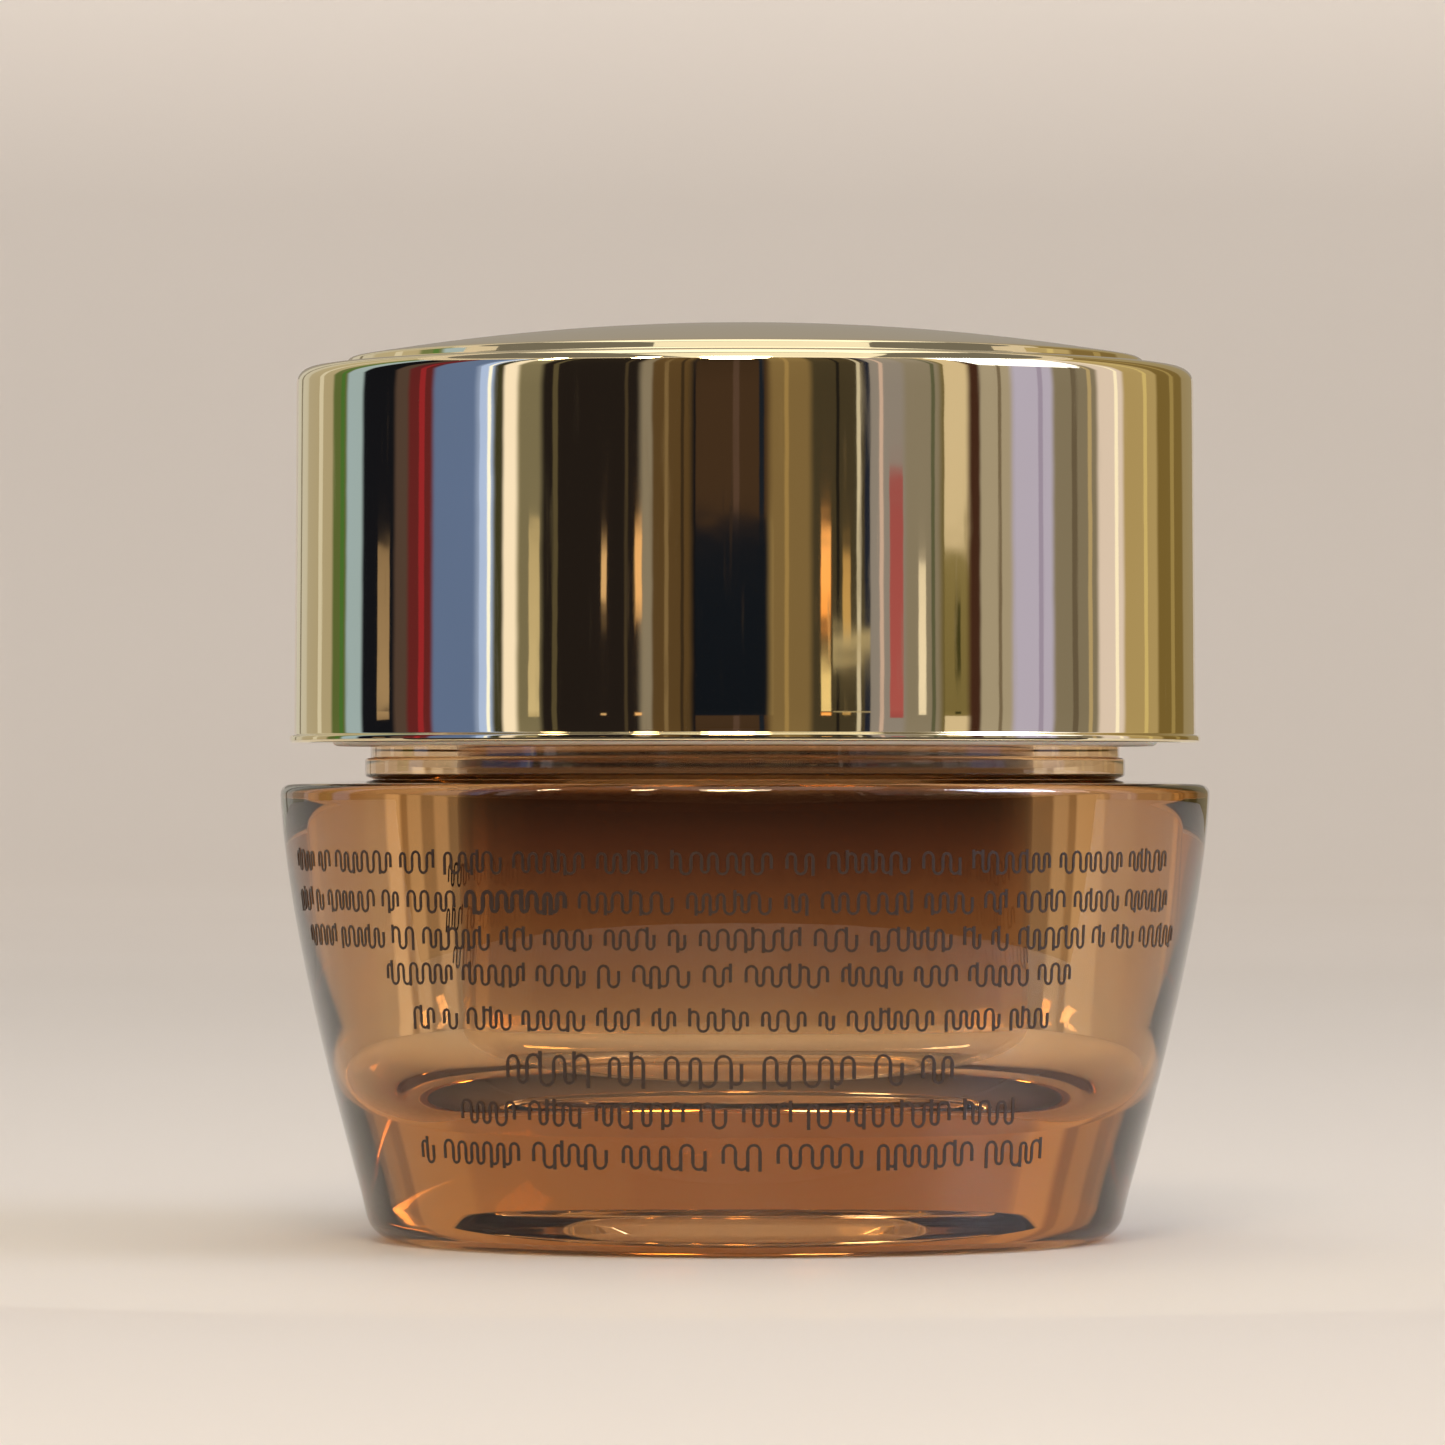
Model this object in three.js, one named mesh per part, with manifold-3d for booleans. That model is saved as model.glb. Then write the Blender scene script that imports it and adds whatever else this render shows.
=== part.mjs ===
// A small heavy-walled cosmetic jar with a screw cap, closed: an amber jar, and a cap made of a
// metallised shell, a threaded insert pressed into it and a foam sealing liner.
// Millimetres, +Z up. The origin is on the jar's axis, on the surface that the jar stands on.
import * as THREE from 'three';
import { mergeVertices } from 'three/addons/utils/BufferGeometryUtils.js';
import Module from 'manifold-3d';

const wasm = await Module();
wasm.setup();

// Mesh fineness
const roundSegments = 48;
const weldDistance = 1e-4;
const sideSteps = 8;
const smallFilletSteps = 2;
const largeFilletSteps = 6;
const largeFilletRadius = 1;

// Jar body
const baseRadius = 14.68;
const heelFillet = 1.2;
const heelInset = 0.25;
const widestRadius = 18;
const widestHeight = 17.6;
const sideBulgeRadius = 17.85;
const sideBulgeHeight = 12.3;
const shoulderFillet = 0.4;
const recessRadius = 7.7;
const recessDepth = 2.3;
const recessFillet = 0.7;
const recessEdge = 0.35; // rounding where the recess meets the standing ring

// Neck
const neckFootRadius = 14.35;
const neckFootHeight = 17.78;
const beadRadius = 14.72;
const beadBottom = 17.92;
const beadTop = 18.62;
const collarRadius = 14.5;
const collarTop = 19.8;
const neckRadius = 13.4;
const neckShoulderHeight = 20.3;
const lipHeight = 25.5;
const lipFillet = 0.45;

// Inside of the jar
const mouthRadius = 11.4;
const cavityRadius = 11;
const cavityWallFoot = 9.6;
const cavityFloor = 6;
const cavityFillet = 3.3;
const cavityDraft = 0.1;

// Single-start right-hand thread
const threadLead = 3;
const threadCrestWidth = 0.7;
const threadRootWidth = 1.5;
const threadBite = 0.3;
const neckThreadDepth = 1.1;
const neckThreadStart = 20.95;
const neckThreadTurns = 1.1;
const capThreadDepth = 0.9;
const capThreadFirstTurn = 0.5;
const capThreadTurns = 0.95;
const runOutTurns = 0.08;
const leastRunOut = 0.02;
const stepsPerTurn = 48;

// Sealing liner
const sealGap = 0.05;
const linerRadius = 14.4;
const linerThickness = 1;
const linerFillet = 0.15;

// Threaded insert
const insertRadius = 16;
const insertBottom = 19.08;
const insertBore = 14.75;
const insertPlate = 1.2;
const insertFillet = 0.25;
const spacerRingRadius = 9.6;
const spacerRingWall = 1.2;
const spacerTop = 32.9;
const spacerRibCount = 8;
const spacerRibOuter = 15.2;
const spacerRibTop = 31.6;
const spacerRibThickness = 1;
const gripRibCount = 16;
const gripRibReach = 16.2;
const gripRibWidth = 1;
const gripRibBottom = 20.2;

// Cap shell
const shellBottom = 19.2;
const shellLipRadius = 17.63;
const shellLipHeight = 0.3;
const shellFootRadius = 17.45;
const shellTopRadius = 17.36;
const shellWallTop = 33.66;
const shellEdgeFillet = 0.55;
const panelFootRadius = 15.55;
const panelFootHeight = 33.74;
const panelTopRadius = 15.35;
const panelTopHeight = 34.07;
const panelFillet = 0.14;
const crownHeight = 35.4;
const shellBore = 16.3;
const ceilingEdgeRadius = 14.9;
const ceilingEdgeHeight = 32.2;
const ceilingCentreHeight = 33.7;
const ceilingFillet = 0.5;
const crownSteps = 6;

// A turned piece's outline is a list of corners [radius, height, fillet]; a corner with no fillet is sharp.
function outline(corners) {
  const points = [];
  corners.forEach(([radius, height, fillet = 0], index) => {
    const corner = new THREE.Vector2(radius, height);
    if (fillet === 0) {
      points.push(corner);
      return;
    }
    const count = corners.length;
    const before = new THREE.Vector2(...corners[(index + count - 1) % count]).sub(corner).normalize();
    const after = new THREE.Vector2(...corners[(index + 1) % count]).sub(corner).normalize();
    const halfAngle = Math.acos(before.dot(after)) / 2;
    const tangentLength = fillet / Math.tan(halfAngle);
    const arcMiddle = before.clone().add(after).setLength(fillet / Math.sin(halfAngle)).add(corner);
    const start = before.multiplyScalar(tangentLength).add(corner).sub(arcMiddle);
    const end = after.multiplyScalar(tangentLength).add(corner).sub(arcMiddle);
    const sweep = Math.atan2(start.cross(end), start.dot(end));
    const steps = fillet >= largeFilletRadius ? largeFilletSteps : smallFilletSteps;
    for (let step = 0; step <= steps; step += 1) {
      const turned = start.clone().rotateAround(new THREE.Vector2(), (sweep * step) / steps);
      points.push(turned.add(arcMiddle));
    }
  });
  return points;
}

// Points of a shallow spherical dome, from the first step in from its rim to its crown.
function domePoints(rimRadius, rimHeight, centreHeight) {
  const rise = centreHeight - rimHeight;
  const sphereRadius = (rimRadius ** 2 + rise ** 2) / (2 * rise);
  const points = [];
  for (let step = 1; step <= crownSteps; step += 1) {
    const radius = rimRadius * (1 - step / crownSteps);
    const height = centreHeight - sphereRadius + Math.sqrt(sphereRadius ** 2 - radius ** 2);
    points.push([radius, height]);
  }
  return points;
}

function turnedGeometry(points) {
  const geometry = new THREE.LatheGeometry(points, roundSegments);
  geometry.rotateX(Math.PI / 2);
  return closedGeometry(geometry);
}

// Welds a geometry's shared vertices and leaves out the triangles that close up to nothing on the axis.
function closedGeometry(geometry) {
  const bare = geometry.clone();
  bare.deleteAttribute('normal');
  bare.deleteAttribute('uv');
  const welded = mergeVertices(bare, weldDistance);
  const corners = welded.index.array;
  const live = [];
  for (let first = 0; first < corners.length; first += 3) {
    const [a, b, c] = corners.slice(first, first + 3);
    if (a !== b && b !== c && c !== a) {
      live.push(a, b, c);
    }
  }
  welded.setIndex(live);
  return welded;
}

function solidFrom(geometry) {
  const closed = closedGeometry(geometry);
  return new wasm.Manifold(new wasm.Mesh({
    numProp: 3,
    vertProperties: Float32Array.from(closed.attributes.position.array),
    triVerts: Uint32Array.from(closed.index.array),
  }));
}

function geometryFrom(solid) {
  const mesh = solid.getMesh();
  const geometry = new THREE.BufferGeometry();
  geometry.setAttribute('position', new THREE.BufferAttribute(mesh.vertProperties, 3));
  geometry.setIndex(new THREE.BufferAttribute(mesh.triVerts, 1));
  return geometry;
}

// A thread ridge: its section is extruded straight, and then bent round the axis along the helix.
// depth is positive for a ridge that stands out from wallRadius, and negative for one that stands in.
function threadRidge(wallRadius, depth, startHeight, firstTurn, turns) {
  const outward = Math.sign(depth);
  const section = new THREE.Shape([
    new THREE.Vector2(-threadRootWidth / 2, -threadBite * outward),
    new THREE.Vector2(threadRootWidth / 2, -threadBite * outward),
    new THREE.Vector2(threadRootWidth / 2, 0),
    new THREE.Vector2(threadCrestWidth / 2, depth),
    new THREE.Vector2(-threadCrestWidth / 2, depth),
    new THREE.Vector2(-threadRootWidth / 2, 0),
  ]);
  const steps = Math.round(turns * stepsPerTurn);
  const geometry = new THREE.ExtrudeGeometry(section, { depth: turns, steps, bevelEnabled: false });
  const position = geometry.attributes.position;
  for (let vertex = 0; vertex < position.count; vertex += 1) {
    const along = position.getZ(vertex);
    const runOut = Math.min(1, along / runOutTurns, (turns - along) / runOutTurns);
    const offset = position.getY(vertex);
    const standing = offset * outward > 0 ? offset * Math.max(runOut, leastRunOut) : offset;
    const turn = firstTurn + along;
    const angle = turn * 2 * Math.PI;
    const radius = wallRadius + standing;
    const height = startHeight + threadLead * turn + position.getX(vertex);
    position.setXYZ(vertex, radius * Math.cos(angle), radius * Math.sin(angle), height);
  }
  return solidFrom(geometry);
}

// A straight rib standing on a radial line, from innerRadius to outerRadius.
function radialRib(innerRadius, outerRadius, thickness, bottom, top, angle) {
  const rib = new THREE.BoxGeometry(outerRadius - innerRadius, thickness, top - bottom);
  rib.translate((innerRadius + outerRadius) / 2, 0, (bottom + top) / 2);
  rib.rotateZ(angle);
  return solidFrom(rib);
}

function jarGeometry() {
  const side = new THREE.QuadraticBezierCurve(
    new THREE.Vector2(baseRadius, heelFillet),
    new THREE.Vector2(sideBulgeRadius, sideBulgeHeight),
    new THREE.Vector2(widestRadius, widestHeight),
  ).getPoints(sideSteps).map((point) => [point.x, point.y]);
  const body = turnedGeometry(outline([
    [0, recessDepth],
    [recessRadius, recessDepth, recessFillet],
    [recessRadius + recessEdge, 0, recessEdge],
    [baseRadius - heelInset, 0, heelFillet],
    ...side.slice(1, -1),
    [widestRadius, widestHeight, shoulderFillet],
    [neckFootRadius, neckFootHeight],
    [beadRadius, beadBottom],
    [beadRadius, beadTop],
    [collarRadius, beadTop],
    [collarRadius, collarTop],
    [neckRadius, neckShoulderHeight],
    [neckRadius, lipHeight, lipFillet],
    [mouthRadius, lipHeight, lipFillet],
    [cavityRadius, cavityWallFoot],
    [cavityRadius - cavityDraft, cavityFloor, cavityFillet],
    [0, cavityFloor],
  ]));
  const thread = threadRidge(neckRadius, neckThreadDepth, neckThreadStart, 0, neckThreadTurns);
  return geometryFrom(solidFrom(body).add(thread));
}

function linerGeometry() {
  const bottom = lipHeight + sealGap;
  const top = bottom + linerThickness;
  return turnedGeometry(outline([
    [0, bottom],
    [linerRadius, bottom, linerFillet],
    [linerRadius, top, linerFillet],
    [0, top],
  ]));
}

function insertGeometry() {
  const plateBottom = lipHeight + linerThickness + 2 * sealGap;
  const plateTop = plateBottom + insertPlate;
  const ringInner = spacerRingRadius - spacerRingWall;
  let insert = solidFrom(turnedGeometry(outline([
    [0, plateBottom],
    [insertBore, plateBottom],
    [insertBore, insertBottom, insertFillet],
    [insertRadius, insertBottom, insertFillet],
    [insertRadius, plateTop, insertFillet],
    [spacerRingRadius, plateTop],
    [spacerRingRadius, spacerTop, insertFillet],
    [ringInner, spacerTop, insertFillet],
    [ringInner, plateTop],
    [0, plateTop],
  ])));
  const thread = threadRidge(
    insertBore, -capThreadDepth, neckThreadStart - threadLead / 2, capThreadFirstTurn, capThreadTurns,
  );
  insert = insert.add(thread);
  const spacerRoot = spacerRingRadius - spacerRingWall / 2;
  const spacerFoot = plateTop - insertPlate / 2;
  for (let rib = 0; rib < spacerRibCount; rib += 1) {
    const angle = (rib / spacerRibCount) * 2 * Math.PI;
    const spacer = radialRib(spacerRoot, spacerRibOuter, spacerRibThickness, spacerFoot, spacerRibTop, angle);
    insert = insert.add(spacer);
  }
  const gripRoot = (insertBore + insertRadius) / 2;
  const gripTop = plateTop - insertFillet;
  for (let rib = 0; rib < gripRibCount; rib += 1) {
    const angle = ((rib + 0.5) / gripRibCount) * 2 * Math.PI;
    const grip = radialRib(gripRoot, gripRibReach, gripRibWidth, gripRibBottom, gripTop, angle);
    insert = insert.add(grip);
  }
  return geometryFrom(insert);
}

function shellGeometry() {
  return turnedGeometry(outline([
    ...domePoints(ceilingEdgeRadius, ceilingEdgeHeight, ceilingCentreHeight).reverse(),
    [ceilingEdgeRadius, ceilingEdgeHeight],
    [shellBore, ceilingEdgeHeight, ceilingFillet],
    [shellBore, shellBottom, shellLipHeight / 3],
    [shellLipRadius, shellBottom, shellLipHeight / 3],
    [shellLipRadius, shellBottom + shellLipHeight, shellLipHeight / 3],
    [shellFootRadius, shellBottom + shellLipHeight],
    [shellTopRadius, shellWallTop, shellEdgeFillet],
    [panelFootRadius, panelFootHeight],
    [panelTopRadius, panelTopHeight, panelFillet],
    ...domePoints(panelTopRadius, panelTopHeight, crownHeight),
  ]));
}

const amberGlass = new THREE.MeshStandardMaterial({ color: '#8a5530', roughness: 0.06, metalness: 0 });
const metallisedGold = new THREE.MeshStandardMaterial({ color: '#c8b184', roughness: 0.08, metalness: 1 });
const naturalPlastic = new THREE.MeshStandardMaterial({ color: '#e9e4da', roughness: 0.45, metalness: 0 });
const whiteFoam = new THREE.MeshStandardMaterial({ color: '#f1eee8', roughness: 0.7, metalness: 0 });

function piece(name, geometry, material) {
  const mesh = new THREE.Mesh(geometry, material);
  mesh.name = name;
  return mesh;
}

const cap = new THREE.Group();
cap.add(piece('cap_shell', shellGeometry(), metallisedGold));
cap.add(piece('cap_insert', insertGeometry(), naturalPlastic));
cap.add(piece('cap_liner', linerGeometry(), whiteFoam));

const jar = new THREE.Group();
jar.add(piece('jar_body', jarGeometry(), amberGlass));
jar.add(cap);

export default jar;
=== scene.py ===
import math
import random

import bmesh
import bpy
from mathutils import Matrix, Vector, noise
from mathutils.geometry import interpolate_bezier


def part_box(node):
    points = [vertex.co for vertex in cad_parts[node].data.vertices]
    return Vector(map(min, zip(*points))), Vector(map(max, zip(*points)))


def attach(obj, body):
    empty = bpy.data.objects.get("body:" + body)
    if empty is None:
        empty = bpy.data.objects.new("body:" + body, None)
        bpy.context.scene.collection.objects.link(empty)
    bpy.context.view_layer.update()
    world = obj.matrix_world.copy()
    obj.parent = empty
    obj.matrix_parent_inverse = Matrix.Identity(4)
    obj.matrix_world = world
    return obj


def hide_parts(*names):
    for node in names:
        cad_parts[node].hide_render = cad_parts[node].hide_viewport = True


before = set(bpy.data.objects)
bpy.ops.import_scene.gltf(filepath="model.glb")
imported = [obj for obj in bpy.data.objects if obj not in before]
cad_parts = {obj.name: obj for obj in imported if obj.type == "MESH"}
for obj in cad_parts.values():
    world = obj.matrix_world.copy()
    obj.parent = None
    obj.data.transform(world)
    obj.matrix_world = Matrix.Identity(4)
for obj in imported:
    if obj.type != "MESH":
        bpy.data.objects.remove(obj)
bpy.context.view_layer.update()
scene = bpy.context.scene
print("frame loaded")

mm = 0.001
fullTurn = 2 * math.pi
facets = 288   # round every turned piece
longestRun = 0.8   # mm, a straight run of an outline is cut up into no more than this
sameRadius = 0.001   # mm
colourA, colourB, mixed = 6, 7, 2   # the colour sockets of a Mix node
random.seed(7)


# ---- helpers: nodes, colours, turned shapes

def linear(hexColour, alpha=1.0):
    # sRGB hex to the linear values that Blender's sockets hold
    channels = [int(hexColour[i:i + 2], 16) / 255 for i in (1, 3, 5)]
    return [c / 12.92 if c <= 0.04045 else ((c + 0.055) / 1.055) ** 2.4 for c in channels] + [alpha]


def addNode(tree, kind, inputs=None, **settings):
    node = tree.nodes.new(kind)
    for name, value in settings.items():
        setattr(node, name, value)
    for name, value in (inputs or {}).items():
        if isinstance(value, bpy.types.NodeSocket):
            tree.links.new(value, node.inputs[name])
        else:
            node.inputs[name].default_value = value
    return node


def colourRamp(tree, factor, stops):
    ramp = addNode(tree, "ShaderNodeValToRGB", {"Fac": factor})
    while len(ramp.color_ramp.elements) < len(stops):
        ramp.color_ramp.elements.new(0.5)
    for element, (position, hexColour) in zip(ramp.color_ramp.elements, stops):
        element.position = position
        element.color = linear(hexColour)
    return ramp


def newMaterial(name):
    material = bpy.data.materials.new(name)
    material.use_nodes = True
    material.node_tree.nodes.clear()
    return material, material.node_tree


def outlineCurve(start, pull, end, count):
    # points of a smooth bend from start to end, pulled towards a third point, without its two ends
    toward = [Vector((p[0], 0, p[1])) for p in (start, pull, end)]
    first = toward[0].lerp(toward[1], 2 / 3)
    last = toward[2].lerp(toward[1], 2 / 3)
    points = interpolate_bezier(toward[0], first, last, toward[2], count)
    return [(p.x, p.z, 0) for p in points[1:-1]]


def turnOutline(corners, foot, fineBand=None):
    # Corners are (radius, height, rounding) in mm, the rounding measured along both sides of the corner.
    # fineBand is (radius, cuts): the upright edge at that radius is cut up, to carry a thread.
    bm = bmesh.new()
    verts = [bm.verts.new((radius, 0, height)) for radius, height, rounding in corners]
    for pair in zip(verts, verts[1:]):
        bm.edges.new(pair)
    for size in sorted({corner[2] for corner in corners if corner[2]}):
        chosen = [vert for vert, corner in zip(verts, corners) if corner[2] == size]
        bmesh.ops.bevel(
            bm, geom=chosen, offset=size, offset_type="OFFSET", affect="VERTICES",
            segments=14 if size > 1 else 6, profile=0.5, material=-1, clamp_overlap=True)
    for edge in bm.edges[:]:
        # a long straight run is cut up, so that its shading stays straight beside a rounded corner
        cuts = int(edge.calc_length() / longestRun)
        onBand = fineBand and all(abs(vert.co.x - fineBand[0]) < sameRadius for vert in edge.verts)
        if cuts and not onBand:
            bmesh.ops.subdivide_edges(bm, edges=[edge], cuts=cuts)
    if fineBand:
        radius, cuts = fineBand
        wallEdges = [
            edge for edge in bm.edges
            if all(abs(vert.co.x - radius) < sameRadius for vert in edge.verts) and edge.calc_length() > 2]
        bmesh.ops.subdivide_edges(bm, edges=wallEdges, cuts=cuts)
    bmesh.ops.spin(
        bm, geom=bm.verts[:] + bm.edges[:], cent=(0, 0, 0), axis=(0, 0, 1), dvec=(0, 0, 0),
        angle=fullTurn, steps=facets, use_merge=True, use_normal_flip=False, use_duplicate=False)
    bmesh.ops.remove_doubles(bm, verts=bm.verts, dist=0.0005)
    bmesh.ops.translate(bm, verts=bm.verts, vec=(0, 0, foot / mm))
    return bm


def finishPiece(name, bm, body, material, replaced=(), sharpAngle=35):
    # the mesh was made in mm: it becomes metres here, and the object stays at the origin
    bmesh.ops.scale(bm, vec=(mm, mm, mm), verts=bm.verts)
    bmesh.ops.recalc_face_normals(bm, faces=bm.faces)
    for face in bm.faces:
        face.smooth = True
    for edge in bm.edges:
        edge.smooth = edge.calc_face_angle(0) < math.radians(sharpAngle)
    mesh = bpy.data.meshes.new(name)
    bm.to_mesh(mesh)
    bm.free()
    piece = bpy.data.objects.new(name, mesh)
    scene.collection.objects.link(piece)
    mesh.materials.append(material)
    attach(piece, body)
    if replaced:
        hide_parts(*replaced)
    return piece


def smoothStep(value):
    value = min(max(value, 0), 1)
    return value * value * (3 - 2 * value)


def raiseThread(bm, thread, wallRadius, foot):
    # moves the finely cut wall out (or in, with a depth below 0) along a right-hand helix
    halfRoot, halfCrest = thread["rootWidth"] / 2, thread["crestWidth"] / 2
    for vert in bm.verts:
        radius = math.hypot(vert.co.x, vert.co.y)
        if abs(radius - wallRadius) > 0.02:
            continue
        angle = math.atan2(vert.co.y, vert.co.x) % fullTurn
        height = vert.co.z - foot / mm
        lift = 0
        for turn in range(3):
            along = angle / fullTurn + turn - thread["firstTurn"]
            if not 0 <= along <= thread["turns"]:
                continue
            centre = thread["start"] + thread["lead"] * (along + thread["firstTurn"])
            flank = (halfRoot - abs(height - centre)) / (halfRoot - halfCrest)
            runOut = min(along, thread["turns"] - along) / thread["runOut"]
            lift = max(lift, smoothStep(flank) * smoothStep(runOut))
        scale = (radius + lift * thread["depth"]) / radius
        vert.co.x *= scale
        vert.co.y *= scale


# ---- where the frame puts the pieces

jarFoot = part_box("jar_body")[0].z
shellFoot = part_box("cap_shell")[0].z
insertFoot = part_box("cap_insert")[0].z
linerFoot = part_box("cap_liner")[0].z


# ---- camera

view = {
    "distance": 333 * mm,      # from the jar's axis
    "eyeHeight": 17.6 * mm,    # level with the jar's shoulder
    "aimHeight": 20.0 * mm,
    "sideways": -0.87 * mm,
    "lens": 214,
}


def makeCamera():
    camera = bpy.data.objects.new("camera", bpy.data.cameras.new("camera"))
    scene.collection.objects.link(camera)
    camera.data.lens = view["lens"]
    camera.data.sensor_width = 36
    camera.data.clip_start = 0.01
    camera.location = (view["sideways"], -view["distance"], view["eyeHeight"])
    aim = Vector((view["sideways"], 0, view["aimHeight"])) - camera.location
    camera.rotation_euler = aim.to_track_quat("-Z", "Y").to_euler()
    scene.camera = camera


makeCamera()


# ---- amber glass: pressed, fire-polished soda-lime coloured in the melt

amber = {
    "surface": "#FFFCF8",
    "streak": "#F8F2EA",
    "tint": (0.75, 0.46, 0.01),   # what the melt lets through of red, green and blue
    "density": 120,
    "roughness": 0.008,
    "waveWidth": 7,               # mm, the slow waves that the mould's chill leaves
    # painted shade on the inside of the wall, darker towards the mouth: its radius in mm, and its colour
    # from the floor up to the mouth
    "paintedShadeRadius": 11.7,
    "paintedShadeFrom": 7,
    "paintedShadeTo": 19,
    "paintedShade": [(0.0, "#FFFCF8"), (0.12, "#F8EAD0"), (0.24, "#C8AC80"), (0.42, "#AC8854"), (0.58, "#987044"),
              (0.74, "#6C442A"), (0.84, "#3C2010"), (0.92, "#361C0E"), (0.96, "#C0A080")],
}


def amberGlass():
    # Deep colour where the wall is thick and pale where it is thin, and a wet-looking surface with slow
    # chill waves.
    material, tree = newMaterial("amber pressed glass")
    place = addNode(tree, "ShaderNodeTexCoord").outputs["Object"]
    stretched = addNode(tree, "ShaderNodeMapping", {"Vector": place, "Scale": (1, 1, 0.25)})
    melt = addNode(tree, "ShaderNodeTexNoise", {
        "Vector": stretched.outputs[0], "Scale": 1 / (3 * mm), "Detail": 3, "Roughness": 0.5})
    colour = addNode(tree, "ShaderNodeMix", {
        "Factor": melt.outputs["Fac"],
        colourA: linear(amber["streak"]), colourB: linear(amber["surface"])},
        data_type="RGBA")
    point = addNode(tree, "ShaderNodeSeparateXYZ", {0: place})
    flat = addNode(tree, "ShaderNodeCombineXYZ", {
        "X": point.outputs["X"], "Y": point.outputs["Y"]})
    radius = addNode(tree, "ShaderNodeVectorMath", {0: flat.outputs[0]}, operation="LENGTH")
    # painted shade: inside that radius the wall's colour follows the ramp, darker up towards the mouth
    inside = addNode(tree, "ShaderNodeMath", {
        0: radius.outputs["Value"], 1: amber["paintedShadeRadius"] * mm}, operation="LESS_THAN")
    height = addNode(tree, "ShaderNodeMapRange", {
        "Value": point.outputs["Z"],
        "From Min": amber["paintedShadeFrom"] * mm, "From Max": amber["paintedShadeTo"] * mm})
    paintedShade = colourRamp(tree, height.outputs[0], amber["paintedShade"])
    withPaintedShade = addNode(tree, "ShaderNodeMix", {
        "Factor": inside.outputs[0], colourA: colour.outputs[mixed], colourB: paintedShade.outputs["Color"]},
        data_type="RGBA")
    smear = addNode(tree, "ShaderNodeTexNoise", {"Vector": place, "Scale": 1 / (5 * mm), "Detail": 4})
    gloss = addNode(tree, "ShaderNodeMapRange", {
        "Value": smear.outputs["Fac"], "From Min": 0.45, "From Max": 0.8,
        "To Min": amber["roughness"], "To Max": amber["roughness"] * 2.5})
    wave = addNode(tree, "ShaderNodeTexNoise", {
        "Vector": stretched.outputs[0], "Scale": 1 / (amber["waveWidth"] * mm), "Detail": 1})
    bump = addNode(tree, "ShaderNodeBump", {
        "Height": wave.outputs["Fac"], "Strength": 0.35, "Distance": 0.05 * mm})
    glass = addNode(tree, "ShaderNodeBsdfPrincipled", {
        "Base Color": withPaintedShade.outputs[mixed], "Roughness": gloss.outputs[0], "IOR": 1.52,
        "Transmission Weight": 1.0, "Normal": bump.outputs[0]})
    melted = addNode(tree, "ShaderNodeVolumeAbsorption", {
        "Color": [*amber["tint"], 1], "Density": amber["density"]})
    addNode(tree, "ShaderNodeOutputMaterial", {"Surface": glass.outputs[0], "Volume": melted.outputs[0]})
    return material


# ---- gold: ABS, vacuum-metallised with aluminium and lacquered pale gold

gold = {
    "face": "#ECDFBA",
    "deep": "#E6D7AE",
    "roughness": 0.035,
    "scratchSpacing": 0.35,   # mm
    "peelWidth": 3.0,         # mm, the moulding's faint orange peel
}


def metallisedAbs():
    # A true mirror with a pale warm cast, a faint orange peel from the moulding, and handling hairlines.
    material, tree = newMaterial("vacuum-metallised ABS, pale gold")
    place = addNode(tree, "ShaderNodeTexCoord").outputs["Object"]
    cloud = addNode(tree, "ShaderNodeTexNoise", {"Vector": place, "Scale": 1 / (9 * mm), "Detail": 2})
    colour = addNode(tree, "ShaderNodeMix", {
        "Factor": cloud.outputs["Fac"], colourA: linear(gold["face"]), colourB: linear(gold["deep"])},
        data_type="RGBA")
    hair = addNode(tree, "ShaderNodeMapping", {
        "Vector": place, "Scale": (1, 1, 0.06), "Rotation": (0.12, 0.05, 0)})
    scratch = addNode(tree, "ShaderNodeTexNoise", {
        "Vector": hair.outputs[0], "Scale": 1 / (gold["scratchSpacing"] * mm), "Detail": 2})
    gloss = addNode(tree, "ShaderNodeMapRange", {
        "Value": scratch.outputs["Fac"], "From Min": 0.6, "From Max": 0.8,
        "To Min": gold["roughness"], "To Max": gold["roughness"] * 3})
    peel = addNode(tree, "ShaderNodeTexNoise", {
        "Vector": place, "Scale": 1 / (gold["peelWidth"] * mm), "Detail": 2})
    bump = addNode(tree, "ShaderNodeBump", {
        "Height": peel.outputs["Fac"], "Strength": 0.3, "Distance": 0.012 * mm})
    metal = addNode(tree, "ShaderNodeBsdfPrincipled", {
        "Base Color": colour.outputs[mixed], "Metallic": 1.0, "Roughness": gloss.outputs[0],
        "Normal": bump.outputs[0]})
    addNode(tree, "ShaderNodeOutputMaterial", {"Surface": metal.outputs[0]})
    return material


# ---- the white parts inside the cap

whiteParts = {
    "plastic": "#EDE9E0",
    "plasticShade": "#E2DCD0",
    "foam": "#F2F0EA",
    "foamCell": 0.3,   # mm
    "grain": 0.25,     # mm, spark-eroded mould texture
}


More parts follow.
